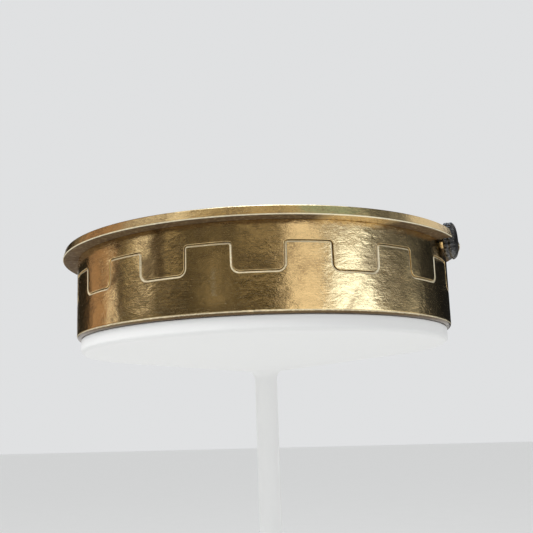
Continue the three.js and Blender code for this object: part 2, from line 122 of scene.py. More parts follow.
class Shader:
    """A material's node tree, with short calls for the nodes used here."""

    def __init__(self, name):
        self.material = bpy.data.materials.new(name)
        self.material.use_nodes = True
        self.tree = self.material.node_tree
        self.bsdf = self.tree.nodes["Principled BSDF"]
        coordinate = self.tree.nodes.new("ShaderNodeTexCoord")
        self.place = self.vector(coordinate.outputs["Object"], (1000, 1000, 1000))
        split = self.tree.nodes.new("ShaderNodeSeparateXYZ")
        self.put(split.inputs[0], self.place)
        radians = self.maths("ARCTAN2", split.outputs["Y"], split.outputs["X"])
        self.turn = self.maths("MULTIPLY", radians, 180 / math.pi)
        self.height = split.outputs["Z"]

    def put(self, socket, value):
        if isinstance(value, bpy.types.NodeSocket):
            self.tree.links.new(value, socket)
        else:
            socket.default_value = value

    def vector(self, source, scale, offset=(0, 0, 0)):
        node = self.tree.nodes.new("ShaderNodeMapping")
        self.put(node.inputs["Vector"], source)
        node.inputs["Scale"].default_value = scale
        node.inputs["Location"].default_value = offset
        return node.outputs["Vector"]

    def noise(self, scale, detail=4, roughness=0.55, stretch=(1, 1, 1), offset=(0, 0, 0), twist=0):
        node = self.tree.nodes.new("ShaderNodeTexNoise")
        self.put(node.inputs["Vector"], self.vector(self.place, stretch, offset))
        node.inputs["Scale"].default_value = scale
        node.inputs["Detail"].default_value = detail
        node.inputs["Roughness"].default_value = roughness
        node.inputs["Distortion"].default_value = twist
        return node.outputs["Fac"]

    def spread(self, fac, low, high, to_low=0.0, to_high=1.0):
        node = self.tree.nodes.new("ShaderNodeMapRange")
        node.interpolation_type = "SMOOTHSTEP"
        self.put(node.inputs["Value"], fac)
        node.inputs["From Min"].default_value = low
        node.inputs["From Max"].default_value = high
        node.inputs["To Min"].default_value = to_low
        node.inputs["To Max"].default_value = to_high
        return node.outputs["Result"]

    def patch(self, turn, height, wobble, blur=0.6):
        """A soft patch on a round wall: turn is (from, to) in degrees from +X, height is (from, to) in mm."""
        shares = []
        ragged = self.spread(wobble, 0.3, 0.7, -1.2 * blur, 1.2 * blur)
        for place, (low, high), soft in ((self.turn, turn, blur * 1.4), (self.height, height, blur * 0.5)):
            centred = self.maths("SUBTRACT", place, (low + high) / 2)
            away = self.maths("ABSOLUTE", self.maths("MULTIPLY_ADD", ragged, soft, centred))
            half = (high - low) / 2
            shares.append(self.spread(away, half - soft, half + soft, 1.0, 0.0))
        return self.maths("MULTIPLY", *shares)

    def attribute(self, name):
        node = self.tree.nodes.new("ShaderNodeAttribute")
        node.attribute_name = name
        return node.outputs["Fac"]

    def sum(self, *terms):
        total = terms[0]
        for term in terms[1:]:
            total = self.maths("ADD", total, term)
        return total

    def maths(self, operation, *values):
        node = self.tree.nodes.new("ShaderNodeMath")
        node.operation = operation
        for socket, value in zip(node.inputs, values):
            self.put(socket, value)
        return node.outputs[0]

    def mix(self, fac, a, b):
        node = self.tree.nodes.new("ShaderNodeMix")
        node.data_type = "RGBA"
        self.put(node.inputs["Factor"], fac)
        for socket, value in ((node.inputs["A"], a), (node.inputs["B"], b)):
            self.put(socket, value if isinstance(value, bpy.types.NodeSocket) else (*value, 1))
        return node.outputs["Result"]

    def bump(self, height, depth, normal=None):
        node = self.tree.nodes.new("ShaderNodeBump")
        node.inputs["Distance"].default_value = depth
        self.put(node.inputs["Height"], height)
        if normal is not None:
            self.put(node.inputs["Normal"], normal)
        return node.outputs["Normal"]

    def finish(self, color, roughness, metallic=0.0, normal=None, **fixed):
        self.put(self.bsdf.inputs["Base Color"], color)
        self.put(self.bsdf.inputs["Roughness"], roughness)
        self.put(self.bsdf.inputs["Metallic"], metallic)
        if normal is not None:
            self.put(self.bsdf.inputs["Normal"], normal)
        for socket, value in fixed.items():
            self.bsdf.inputs[socket.replace("_", " ")].default_value = value
        return self.material


# ---------------------------------------------------------------- materials

CLEAN_BRASS = (0.87, 0.66, 0.335)
DULL_BRASS = (0.42, 0.29, 0.14)
# Brown for the painted dark reflections on the wall
BROWN = (0.17, 0.105, 0.05)
# Brown for painted shade, round the cup's bottom edge and on the flange's underside
DEEP_BROWN = (0.09, 0.055, 0.03)
# Colour for the painted highlight along marked edges
EDGE_HIGHLIGHT_BRASS = (1.0, 0.94, 0.72)
# Pale colour for painted highlight patches
HIGHLIGHT_PATCH_BRASS = (1.0, 0.93, 0.7)
# Painted shade darkens the flange's underside, except round this turn, in degrees, where it is left bright
UNSHADED_TURN = -43.0
UNSHADED_HALF_WIDTH = (6.0, 13.0)


def worn_brass(name, shift, polish=0.09, dark=(), bright=(), foot=False, underside=None):
    """Polished brass that has been handled: dull patches, level scratches, ripples and a hammered grain.

    dark and bright list places on the wall given painted dark reflections and painted highlights, each as
    (turn from, to, height from, to, strength). foot lays painted shade round the bottom edge. underside is
    the height of a flange's underside, which gets painted shade. Rows marked on a mesh get a painted
    highlight.
    """
    s = Shader(name)
    offset = (shift, -shift, shift * 0.5)
    patches = s.noise(0.2, 5, 0.62, offset=offset, twist=0.8)
    ripple = s.noise(1.0, 3, 0.55, stretch=(1, 1, 1.5), offset=offset, twist=0.5)
    specks = s.noise(3.0, 4, 0.7, stretch=(1, 1, 2.4), offset=offset)
    level = s.noise(1.0, 3, 0.65, stretch=(0.6, 0.6, 9), offset=offset)
    grit = s.noise(5.5, 4, 0.75, stretch=(1, 1, 1.6), offset=offset)

    tarnish = s.maths("MULTIPLY", s.spread(patches, 0.42, 0.66), s.spread(specks, 0.34, 0.58))
    color = s.mix(s.maths("MULTIPLY", tarnish, 0.85), CLEAN_BRASS, DULL_BRASS)
    color = s.mix(s.spread(grit, 0.54, 0.7, 0, 0.7), color, DULL_BRASS)
    color = s.mix(s.spread(level, 0.58, 0.78, 0, 0.3), color, DULL_BRASS)
    rough = s.sum(
        s.spread(level, 0.3, 0.8, polish - 0.02, polish + 0.1), s.maths("MULTIPLY", tarnish, 0.14))
    # Painted dark reflections: brown, slightly rougher patches at listed places on the wall
    for *place, strength in dark:
        mask = s.maths(
            "MULTIPLY", s.patch(place[:2], place[2:], patches, 0.9), s.spread(grit, 0.3, 0.62, strength, 1.0))
        color = s.mix(s.maths("MULTIPLY", mask, strength), color, BROWN)
        rough = s.maths("MULTIPLY_ADD", mask, 0.08, rough)
    # Painted highlights: pale, rougher patches at listed places on the wall
    for *place, strength in bright:
        mask = s.maths("MULTIPLY", s.patch(place[:2], place[2:], patches, 0.5), strength)
        color = s.mix(mask, color, HIGHLIGHT_PATCH_BRASS)
        rough = s.maths("MULTIPLY_ADD", mask, 0.5, rough)
    # Painted shade: the brass darkens to brown towards the bottom edge
    if foot:
        ragged = s.maths("MULTIPLY_ADD", s.spread(specks, 0.3, 0.7), -0.12, s.height)
        low = s.spread(ragged, 0.12, 0.3, 0.92, 0.0)
        color = s.mix(low, color, DEEP_BROWN)
    # Painted shade on the flange's underside, left off round one turn where the underside stays bright
    if underside is not None:
        low = s.spread(s.height, underside + 0.02, underside + 0.1, 1.0, 0.0)
        away = s.maths("ABSOLUTE", s.maths("ADD", s.turn, -UNSHADED_TURN))
        shade_by_turn = s.spread(away, *UNSHADED_HALF_WIDTH, 0.1, 0.97)
        underside_shade = s.maths(
            "MULTIPLY", s.maths("MULTIPLY", low, shade_by_turn), s.spread(specks, 0.25, 0.55, 0.8, 1.0))
        color = s.mix(underside_shade, color, DEEP_BROWN)
    # Painted highlight on marked edge rows: pale, rougher and less metallic, so they take up the diffuse
    # light
    edge_highlight = s.maths("MULTIPLY", s.attribute("painted_edge_highlight"), s.spread(specks, 0.2, 0.55, 0.95, 0.6))
    color = s.mix(edge_highlight, color, EDGE_HIGHLIGHT_BRASS)
    rough = s.maths("MULTIPLY_ADD", edge_highlight, 0.3, rough)
    metal = s.maths("MULTIPLY_ADD", edge_highlight, -0.75, 1.0)
    # The painted shade also makes the underside rough and less metallic
    if underside is not None:
        rough = s.maths("MULTIPLY_ADD", underside_shade, 0.55, rough)
        metal = s.maths("MULTIPLY_ADD", underside_shade, -0.9, metal)

    waves = s.bump(s.noise(0.26, 2, 0.5, stretch=(1, 1, 0.8), offset=offset), 0.11 * MM)
    ripples = s.bump(ripple, 0.028 * MM, waves)
    hammered = s.bump(specks, 0.01 * MM, ripples)
    scratches = s.bump(level, 0.004 * MM, hammered)
    grain = s.bump(grit, 0.0016 * MM, scratches)
    return s.finish(color, rough, metal, grain, Specular_IOR_Level=0.1)


def gilt(name, shift):
    """Gilded plate with a satin grain."""
    s = Shader(name)
    offset = (shift, shift, 0)
    cloud = s.noise(0.3, 4, offset=offset)
    grain = s.noise(4, 3, 0.6, stretch=(1, 0.12, 1), offset=offset)
    color = s.mix(s.spread(cloud, 0.3, 0.75), (0.90, 0.70, 0.36), (0.78, 0.56, 0.27))
    rough = s.spread(grain, 0.2, 0.8, 0.24, 0.4)
    normal = s.bump(grain, 0.004 * MM)
    return s.finish(color, rough, 1.0, normal)


def steel(name, shift, tone=0.58, polish=0.16):
    """Turned and polished steel."""
    s = Shader(name)
    offset = (shift, 0, shift)
    cloud = s.noise(0.9, 3, offset=offset)
    grain = s.noise(5, 3, 0.6, stretch=(1, 1, 0.3), offset=offset)
    pale = (tone, tone * 1.01, tone * 1.03)
    dark = (tone * 0.72, tone * 0.72, tone * 0.74)
    color = s.mix(s.spread(cloud, 0.35, 0.7), pale, dark)
    rough = s.spread(grain, 0.2, 0.8, polish, polish + 0.16)
    return s.finish(color, rough, 1.0, s.bump(grain, 0.002 * MM))


def blued_steel(name):
    """Heat-blued steel, drifting from deep blue to purple."""
    s = Shader(name)
    drift = s.noise(0.35, 3)
    grain = s.noise(6, 2, 0.5, stretch=(1, 0.2, 1))
    color = s.mix(s.spread(drift, 0.35, 0.65), (0.035, 0.075, 0.30), (0.10, 0.05, 0.22))
    return s.finish(color, s.spread(grain, 0.2, 0.8, 0.14, 0.26), 1.0, s.bump(grain, 0.001 * MM))


def dark_steel(name):
    """The crown's blackened steel, in darker and paler patches, with pale worn specks."""
    s = Shader(name)
    patch = s.noise(0.9, 5, 0.65)
    specks = s.noise(4, 4, 0.7, offset=(3, 0, 0))
    color = s.mix(s.spread(patch, 0.4, 0.6), (0.16, 0.155, 0.15), (0.05, 0.047, 0.043))
    color = s.mix(s.spread(specks, 0.55, 0.72, 0, 0.7), color, (0.42, 0.41, 0.39))
    rough = s.spread(specks, 0.3, 0.7, 0.24, 0.42)
    return s.finish(color, rough, 0.9, s.bump(specks, 0.03 * MM))


def clear_crystal(name):
    """Mineral glass with the faintest wear."""
    s = Shader(name)
    haze = s.noise(0.5, 4, 0.6)
    hairs = s.noise(1.5, 4, 0.7, stretch=(1, 9, 1))
    color = s.mix(s.spread(haze, 0.3, 0.8), (0.985, 0.99, 0.985), (0.955, 0.97, 0.965))
    normal = s.bump(hairs, 0.0003 * MM)
    return s.finish(color, s.spread(hairs, 0.62, 0.85, 0.0, 0.05), 0.0, normal,
                    Transmission_Weight=1.0, IOR=1.5)


def rubber(name):
    """Black gasket rubber."""
    s = Shader(name)
    dust = s.noise(2, 5, 0.7)
    color = s.mix(s.spread(dust, 0.5, 0.8), (0.018, 0.018, 0.018), (0.06, 0.058, 0.055))
    return s.finish(color, s.spread(dust, 0.3, 0.8, 0.55, 0.8), 0.0, s.bump(dust, 0.01 * MM))


def enamel(name):
    """The dial's cream enamel, slightly aged in clouds and specks."""
    s = Shader(name)
    cloud = s.noise(0.12, 4, 0.6)
    specks = s.noise(3.5, 4, 0.75)
    color = s.mix(s.spread(cloud, 0.3, 0.75), (0.80, 0.76, 0.64), (0.72, 0.66, 0.52))
    color = s.mix(s.spread(specks, 0.68, 0.8, 0, 0.5), color, (0.42, 0.36, 0.26))
    normal = s.bump(s.noise(0.8, 3), 0.006 * MM)
    return s.finish(color, s.spread(cloud, 0.3, 0.8, 0.2, 0.3), 0.0, normal, Coat_Weight=0.4)


def ink(name):
    """Printed dial black, a little uneven."""
    s = Shader(name)
    wear = s.noise(3, 4, 0.7)
    color = s.mix(s.spread(wear, 0.5, 0.8), (0.02, 0.019, 0.018), (0.07, 0.062, 0.05))
    return s.finish(color, s.spread(wear, 0.3, 0.8, 0.35, 0.6))


def paper(name, tone):
    """The stage's pale card."""
    s = Shader(name)
    fibre = s.noise(0.05, 5, 0.7)
    shade = tuple(0.97 * c for c in tone)
    return s.finish(s.mix(fibre, tone, shade), s.spread(fibre, 0.2, 0.8, 0.75, 0.9))


# ---------------------------------------------------------------- mesh helpers

def add_object(name, mesh, material):
    thing = bpy.data.objects.new(name, mesh)
    bpy.context.scene.collection.objects.link(thing)
    mesh.materials.append(material)
    return thing


def piece(thing, body, slot_name, *nodes):
    """A shown piece that rides a CAD body, and stands for the CAD nodes named."""
    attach(thing, body)
    if nodes:
        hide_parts(*nodes)
    return thing


def skin(name, strips, material, edge_rows=()):
    """A mesh of closed bands. A strip is (points, normals), each rows x columns x 3, that closes on itself.

    edge_rows are the first strip's rows that get a painted highlight.
    """
    points, normals, faces = [], [], []
    for rows, row_normals in strips:
        start = sum(len(p) for p in points)
        count, columns = rows.shape[:2]
        points.append(rows.reshape(-1, 3))
        normals.append(row_normals.reshape(-1, 3))
        for i in range(count - 1):
            a = start + i * columns + np.arange(columns)
            b = start + i * columns + (np.arange(columns) + 1) % columns
            quads = np.stack([a, b, b + columns, a + columns], axis=1)
            faces.append(quads)
    mesh = bpy.data.meshes.new(name)
    mesh.from_pydata(np.concatenate(points).tolist(), [], np.concatenate(faces).tolist())
    mesh.shade_smooth()
    # Marks the rows that get a painted highlight
    edge_highlight = np.zeros(len(mesh.vertices))
    columns = strips[0][0].shape[1]
    for row in edge_rows:
        edge_highlight[row * columns:(row + 1) * columns] = 1.0
    mesh.attributes.new("painted_edge_highlight", "FLOAT", "POINT").data.foreach_set("value", edge_highlight)
    mesh.normals_split_custom_set_from_vertices(np.concatenate(normals).tolist())
    return add_object(name, mesh, material)


def ring_strip(profile, angles):
    """A profile of (radius, height, radial normal, upward normal) rows turned about Z."""
    cos, sin = np.cos(angles), np.sin(angles)
    points, normals = [], []
    for radius, height, out, up in profile:
        points.append(np.stack([radius * cos, radius * sin, np.full_like(cos, height)], axis=1))
        normals.append(np.stack([out * cos, out * sin, np.full_like(cos, up)], axis=1))
    return np.array(points), np.array(normals)


def rounded_profile(corners, steps=5):
    """Rows round a profile of (radius, height, rounding) corners, each face flat and each corner an arc.

    The profile runs anticlockwise in (radius, height), so that its right-hand side is outside.
    """
    rows = []
    count = len(corners)
    for i in range(count):
        here = np.array(corners[i][:2])
        before = here - np.array(corners[i - 1][:2])
        after = np.array(corners[(i + 1) % count][:2]) - here
        before /= np.linalg.norm(before)
        after /= np.linalg.norm(after)
        turn = math.atan2(before[0] * after[1] - before[1] * after[0], before @ after)
        reach = corners[i][2] * math.tan(abs(turn) / 2)
        start = here - before * reach
        side = np.array([before[1], -before[0]])
        centre = start - side * corners[i][2] * (1 if turn > 0 else -1)
        for k in range(steps + 1):
            angle = turn * k / steps
            c, s = math.cos(angle), math.sin(angle)
            normal = np.array([side[0] * c - side[1] * s, side[0] * s + side[1] * c])
            spot = centre + normal * corners[i][2] * (1 if turn > 0 else -1)
            rows.append((spot[0], spot[1], normal[0], normal[1]))
    return rows + rows[:1]


def turned(name, corners, material, columns=360, steps=5):
    """A closed body turned about Z from a rounded profile."""
    angles = np.linspace(0, 2 * math.pi, columns, endpoint=False)
    return skin(name, [ring_strip(rounded_profile(corners, steps), angles)], material)


# ---------------------------------------------------------------- case

def joint_line():
    """The joint between cup and ring, unrolled: points (across, up) and unit normals towards the ring.

    One pitch runs from the middle of a sill, up over a tooth of the cup and back to the next sill's middle.
    """
    pitch = 2 * math.pi * CASE_R / TEETH
    low, high = TOOTH_SILL, TOOTH_CREST
    left, right = pitch / 4, pitch * 3 / 4
    spots, normals = [], []

    def straight(a, b, normal, count):
        for t in np.linspace(0, 1, count, endpoint=False):
            spots.append((a[0] + (b[0] - a[0]) * t, a[1] + (b[1] - a[1]) * t))
            normals.append(normal)

    def arc(centre, radius, start, end, sign, count=7):
        for angle in np.radians(np.linspace(start, end, count, endpoint=False)):
            spots.append((centre[0] + radius * math.cos(angle), centre[1] + radius * math.sin(angle)))
            normals.append((sign * math.cos(angle), sign * math.sin(angle)))

    u, t = U_CORNER, TOP_CORNER
    straight((0, low), (left - u, low), (0, 1), 12)
    arc((left - u, low + u), u, -90, 0, -1)
    straight((left, low + u), (left, high - t), (-1, 0), 8)
    arc((left + t, high - t), t, 180, 90, 1)
    straight((left + t, high), (right - t, high), (0, 1), 18)
    arc((right - t, high - t), t, 90, 0, 1)
    straight((right, high - t), (right, low + u), (1, 0), 8)
    arc((right + u, low + u), u, 180, 270, -1)
    straight((right + u, low), (pitch, low), (0, 1), 12)
    spots, normals = np.array(spots), np.array(normals)
    lean = np.where(spots[:, 0] < pitch / 2, 1, -1) * (spots[:, 1] - low) * DRAFT
    spots[:, 0] += lean
    turns = np.arange(TEETH)[:, None, None] * np.array([pitch, 0])
    return (spots[None] + turns).reshape(-1, 2), np.tile(normals, (TEETH, 1))


def on_wall(across, up, radius, tangent=0.0, vertical=0.0, out=1.0):
    """Points and normals at an unrolled place on a wall of that radius."""
    angle = across / CASE_R + TOOTH_PHASE - math.pi / TEETH
    cos, sin = np.cos(angle), np.sin(angle)
    points = np.stack([radius * cos, radius * sin, np.broadcast_to(up, cos.shape)], axis=1)
    normals = np.stack(
        [out * cos - tangent * sin, out * sin + tangent * cos, np.broadcast_to(vertical, cos.shape)], axis=1)
    return points, normals / np.linalg.norm(normals, axis=1, keepdims=True)


def toothed_edge(side, inner_radius, edge, steps=5):
    """Rows from the wall's face over its toothed edge and in to inner_radius.

    side is -1 on the cup, 1 on the ring.
    """
    line, normal = joint_line()
    rows = []
    for k in range(steps + 1):
        angle = math.pi / 2 * k / steps
        inset = SEAM / 2 + edge * (1 - math.sin(angle))
        spot = line + side * normal * inset
        facing = -side * math.sin(angle)
        radius = CASE_R - edge * (1 - math.cos(angle))
        rows.append(on_wall(spot[:, 0], spot[:, 1], radius, facing * normal[:, 0], facing * normal[:, 1],
                            math.cos(angle)))
    spot = line + side * normal * SEAM / 2
    facing = -side * normal
    rows.append(on_wall(spot[:, 0], spot[:, 1], inner_radius, facing[:, 0], facing[:, 1], 0.0))
    return rows


def wall_rows(across, profile):
    """Rows at constant height: profile is (radius, height, out, up)."""
    return [on_wall(across, height, radius, 0.0, up, out) for radius, height, out, up in profile]


def stacked(rows):
    return np.array([r[0] for r in rows]), np.array([r[1] for r in rows])


def square_strip(profile, columns=360):
    """Flat-faced bands turned about Z through (radius, height) points, outside on the right."""
    strips = []
    angles = np.linspace(0, 2 * math.pi, columns, endpoint=False)
    for (r0, z0), (r1, z1) in zip(profile, profile[1:]):
        length = math.hypot(r1 - r0, z1 - z0)
        out, up = (z1 - z0) / length, -(r1 - r0) / length
        strips.append(ring_strip([(r0, z0, out, up), (r1, z1, out, up)], angles))
    return strips


# Painted dark reflections, laid on as brown stains, and painted highlights, laid on as pale rubbed places:
# turn from, to, height from, to, strength
RING_PAINTED_DARK_REFLECTIONS = (
    (-97.5, -93.4, 4.2, 9.2, 0.8),
    (-101.2, -97.5, 4.2, 6.5, 0.8),
    (-110.6, -108.0, 8.0, 8.9, 0.9),
    (-89.0, -74.5, 7.2, 9.2, 0.35),
    (-42.0, -37.0, 4.4, 6.5, 0.45),
    (-37.0, -23.0, 4.2, 9.2, 0.35),
)
CUP_PAINTED_DARK_REFLECTIONS = (
    (-112.0, -109.0, 4.8, 6.9, 0.7),
    (-110.5, -108.0, 1.2, 6.0, 0.5),
    (-97.0, -73.0, 0.0, 0.9, 0.5),
    (-97.0, -87.0, 0.8, 4.1, 0.35),
    (-37.0, -27.0, 1.2, 6.8, 0.4),
)
# A painted highlight patch on the cup's wall
CUP_PAINTED_HIGHLIGHTS = (
    (-81.0, -79.9, 1.8, 4.5, 0.22),
)


def case_cup():
    line, normal = joint_line()
    face = line - normal * (SEAM / 2 + CUP_EDGE)
    rounding = []
    for angle in np.radians(np.linspace(0, 90, 10)):
        radius = CASE_R - CUP_EDGE_ROUND * (1 - math.sin(angle))
        height = CUP_EDGE_ROUND * (1 - math.cos(angle))
        rounding.append((radius, height, math.sin(angle), -math.cos(angle)))
    rows = wall_rows(face[:, 0], [(REBATE_R, 0, 0, -1), *rounding, (CASE_R, TOOTH_SILL - 0.6 * MM, 1, 0)])
    rows += toothed_edge(-1, SPIGOT_R, CUP_EDGE)
    inside = square_strip([
        (SPIGOT_R, TOOTH_SILL - 0.5 * MM), (SPIGOT_R, SPIGOT_TOP), (CASE_BORE_R, SPIGOT_TOP),
        (CASE_BORE_R, 2 * MM), (LIP_R, 2 * MM), (LIP_R, 1 * MM), (REBATE_R, 1 * MM), (REBATE_R, 0)])
    brass = worn_brass("cup_brass", 3.0, dark=CUP_PAINTED_DARK_REFLECTIONS, bright=CUP_PAINTED_HIGHLIGHTS, foot=True)
    # A painted glint along one row near the top of the bottom's rounding, and a painted highlight along the
    # toothed edge
    glint = 8  # a row near the top of the bottom's rounding
    bevel = range(len(rows) - 6, len(rows) - 1)
    return skin("cup", [stacked(rows), *inside], brass, [glint, *bevel])


def case_ring():
    line, normal = joint_line()
    face = line + normal * (SEAM / 2 + RING_EDGE)
    rows = toothed_edge(1, RING_SHELL_R, RING_EDGE)[::-1]
    top = 0.06 * MM
    rows += wall_rows(face[:, 0], [
        (CASE_R, TOOTH_CREST + 0.6 * MM, 1, 0), (CASE_R, RING_TOP - top, 1, 0),
        (CASE_R - top * 0.3, RING_TOP - top * 0.3, 0.7, 0.7), (CASE_R - top, RING_TOP, 0, 1),
        (CASE_BORE_R, RING_TOP, 0, 1)])
    inside = square_strip([
        (CASE_BORE_R, RING_TOP), (CASE_BORE_R, 8.3 * MM), (RING_SHELL_R, 8.3 * MM),
        (RING_SHELL_R, TOOTH_CREST)])
    return skin("ring", [stacked(rows), *inside], worn_brass("ring_brass", 11.0, dark=RING_PAINTED_DARK_REFLECTIONS))


def bezel():
    corners = [
        (19.5 * MM, RING_TOP, 0.05 * MM),
        (FLANGE_R, RING_TOP, 0.12 * MM),
        (FLANGE_R - 0.3 * MM, RING_TOP + 1.02 * MM, 0.16 * MM),
        (20.95 * MM, BEZEL_TOP, 0.12 * MM),
        (CRYSTAL_R + 0.1 * MM, BEZEL_TOP, 0.05 * MM),
        (CRYSTAL_R + 0.1 * MM, CRYSTAL_LOW - 0.2 * MM, 0.03 * MM),
        (19.5 * MM, CRYSTAL_LOW - 0.2 * MM, 0.05 * MM),
    ]
    notch = math.radians(CROWN_NOTCH_HALF)
    fine = np.linspace(-notch, notch, 40)
    coarse = np.linspace(notch + 0.0004, 2 * math.pi - notch - 0.0004, 720)
    angles = np.concatenate([fine, coarse])
    points, normals = ring_strip(rounded_profile(corners), angles)
    seat = CROWN_NOTCH_SEAT
    cut = (np.abs((angles + math.pi) % (2 * math.pi) - math.pi) <= notch)[None] & (points[..., 0] > seat)
    shrink = np.where(cut, seat / np.maximum(points[..., 0], seat), 1.0)
    points[..., :2] *= shrink[..., None]
    normals[cut] = (1.0, 0.0, 0.0)
    # The flange's underside gets painted shade
    brass = worn_brass("bezel_brass", 23.0, polish=0.12, underside=RING_TOP / MM)
    # A painted highlight along the flange's lower edge
    lip = range(8, 11)
    return skin("bezel_ring", [(points, normals)], brass, lip)


def crown():
    """The crown turned about X: two fluted bands with a groove between them, and a domed end."""
    inner, outer = CROWN_X
    depth = outer - inner
    flutes = CROWN_FLUTES
    columns = flutes * 12
    turn = np.linspace(0, 2 * math.pi, columns, endpoint=False)
    wave = (0.5 - 0.5 * np.cos(turn * flutes)) ** 0.6  # broad crests and narrow grooves
    profile = [  # (share of the depth, share of the radius, share of the flutes' depth)
        (0.0, 0.30, 0), (0.0, 0.86, 0.3), (0.03, 0.93, 0.8), (0.08, 0.98, 1), (0.14, 1.0, 1), (0.36, 1.0, 1),
        (0.40, 0.97, 0.8), (0.43, 0.935, 0.3), (0.47, 0.935, 0.3), (0.50, 0.97, 0.8), (0.54, 1.0, 1),
        (0.64, 1.0, 1), (0.72, 0.975, 1), (0.81, 0.92, 1), (0.88, 0.86, 0.9), (0.94, 0.77, 0.6),
        (0.98, 0.66, 0.25), (1.0, 0.5, 0), (1.0, 0.25, 0), (1.0, 0.02, 0)]
    rows = []
    for along, radius, share in profile:
        r = CROWN_R * radius - FLUTE_DEPTH * share * (1 - wave)
        rows.append(np.stack([np.full_like(turn, inner + depth * along), -r * np.sin(turn),
                              STEM_Z + r * np.cos(turn)], axis=1))
    count = len(rows)
    faces = []
    for i in range(count - 1):
        a = i * columns + np.arange(columns)
        b = i * columns + (np.arange(columns) + 1) % columns
        faces.append(np.stack([a, a + columns, b + columns, b], axis=1))
    faces = np.concatenate(faces).tolist()
    faces.append(list(range((count - 1) * columns, count * columns))[::-1])
    mesh = bpy.data.meshes.new("crown_body")
    mesh.from_pydata(np.concatenate(rows).tolist(), [], faces)
    mesh.shade_smooth()
    return add_object("crown_body", mesh, dark_steel("crown_steel"))


def crystal():
    """A dome of even thickness with a polished rim."""
    def dome(rim, low, top, count=24):
        rise = top - low
        sphere = (rim * rim + rise * rise) / (2 * rise)
        rows = []
        for r in np.linspace(rim, 0.02 * MM, count):
            z = top - sphere + math.sqrt(sphere * sphere - r * r)
            rows.append((r, z, r / sphere, math.sqrt(1 - (r / sphere) ** 2)))
        return rows

    angles = np.linspace(0, 2 * math.pi, 256, endpoint=False)
    shoulder = BEZEL_TOP + CRYSTAL_EDGE
    over = ring_strip(dome(CRYSTAL_R - CRYSTAL_EDGE, shoulder, CRYSTAL_TOP), angles)
    hollow = dome(CRYSTAL_INNER_R, CRYSTAL_LOW, CRYSTAL_TOP - CRYSTAL_THICK)
    under_rows = [(r, z, -out, -up) for r, z, out, up in hollow]
    under = ring_strip(under_rows[::-1], angles)
    rim = square_strip([
        (CRYSTAL_INNER_R, CRYSTAL_LOW), (CRYSTAL_R, CRYSTAL_LOW), (CRYSTAL_R, shoulder - CRYSTAL_EDGE),
        (CRYSTAL_R - CRYSTAL_EDGE, shoulder)], 256)
    return skin("dome", [over, under, *rim], clear_crystal("crystal_glass"))


# ---------------------------------------------------------------- dial

def flat_mesh(name, shapes, height, material):
    """One mesh of flat polygons at a height: shapes is a list of outlines of (x, y)."""
    points, faces = [], []
    for outline in shapes:
        faces.append(list(range(len(points), len(points) + len(outline))))
        points += [(x, y, height) for x, y in outline]
    mesh = bpy.data.meshes.new(name)
    mesh.from_pydata(points, [], faces)
    return add_object(name, mesh, material)


def tick(centre, turn, inner, outer, width):
    """A mark along a radius of a dial, turn in degrees clockwise from +Y."""
    a = math.radians(90 - turn)
    along = Vector((math.cos(a), math.sin(a)))
    side = Vector((-along.y, along.x)) * width / 2
    start, end = Vector(centre) + along * inner, Vector(centre) + along * outer
    return [tuple(p) for p in (start - side, end - side, end + side, start + side)]


def band(centre, inner, outer, columns=120):
    """A flat ring as quads."""
    shapes = []
    for i in range(columns):
        a, b = 2 * math.pi * i / columns, 2 * math.pi * (i + 1) / columns
        shapes.append([
            (centre[0] + r * math.cos(t), centre[1] + r * math.sin(t))
            for r, t in ((inner, a), (outer, a), (outer, b), (inner, b))])
    return shapes


def numerals(name, centre, radius, size, material, height):
    """The digits 0 to 9 clockwise from +Y, joined into one mesh."""
    parts = []
    for digit in range(10):
        a = math.radians(90 - 36 * digit)
        curve = bpy.data.curves.new("digit", "FONT")
        curve.body = str(digit)
        curve.size = size
        curve.align_x, curve.align_y = "CENTER", "CENTER"
        curve.offset = size * 0.012
        text = bpy.data.objects.new("digit", curve)
        bpy.context.scene.collection.objects.link(text)
        text.location = (centre[0] + radius * math.cos(a), centre[1] + radius * math.sin(a), height)
        parts.append(text)
    bpy.context.view_layer.update()
    dg = bpy.context.evaluated_depsgraph_get()
    points, faces = [], []
    for text in parts:
        flat = text.evaluated_get(dg).to_mesh()
        start = len(points)
        points += [tuple(text.matrix_world @ v.co) for v in flat.vertices]
        faces += [[start + i for i in p.vertices] for p in flat.polygons]
    for text in parts:
        curve = text.data
        bpy.data.objects.remove(text)
        bpy.data.curves.remove(curve)
    mesh = bpy.data.meshes.new(name)
    mesh.from_pydata(points, [], faces)
    return add_object(name, mesh, material)


def dial_print():
    height = DIAL_TOP + PRINT_LIFT
    black = ink("dial_ink")
    centre = (0.0, 0.0)
    tens = (TENS_AT.x, TENS_AT.y)
    inner, outer = UNITS_TRACK
    marks = band(centre, *outer) + band(centre, *inner)
    for i in range(20):
        wide = 0.5 * MM if i % 2 == 0 else 0.22 * MM
        marks.append(tick(centre, i * 18, inner[1], outer[0], wide))
    inner, outer = TENS_TRACK
    small = band(tens, *outer, 72) + band(tens, *inner, 72)
    for i in range(10):
        small.append(tick(tens, i * 36, inner[1], outer[0], 0.2 * MM))
    piece(flat_mesh("dial_track", marks, height, black), "case", "dial")
    piece(flat_mesh("tens_track", small, height, black), "case", "dial")
    piece(numerals("dial_numerals", centre, *UNITS_FIGURES, black, height), "case", "dial")
    piece(numerals("tens_numerals", tens, *TENS_FIGURES, black, height), "case", "dial")


# ---------------------------------------------------------------- CAD nodes that are shown

def dress(names, material, bevel=0.0):
    """Gives shown CAD nodes their material, and softens their edges."""
    for name in names:
        node = frame["nodes"][name]
        node.data.materials.clear()
        node.data.materials.append(material)
        if bevel:
            soft = node.modifiers.new("soft_edges", "BEVEL")
            soft.width = bevel
            soft.segments = 2
            soft.limit_method = "ANGLE"
            soft.angle_limit = math.radians(35)
            soft.harden_normals = True


def numbered(stem, count):
    return [f"{stem}_{i + 1}" for i in range(count)]


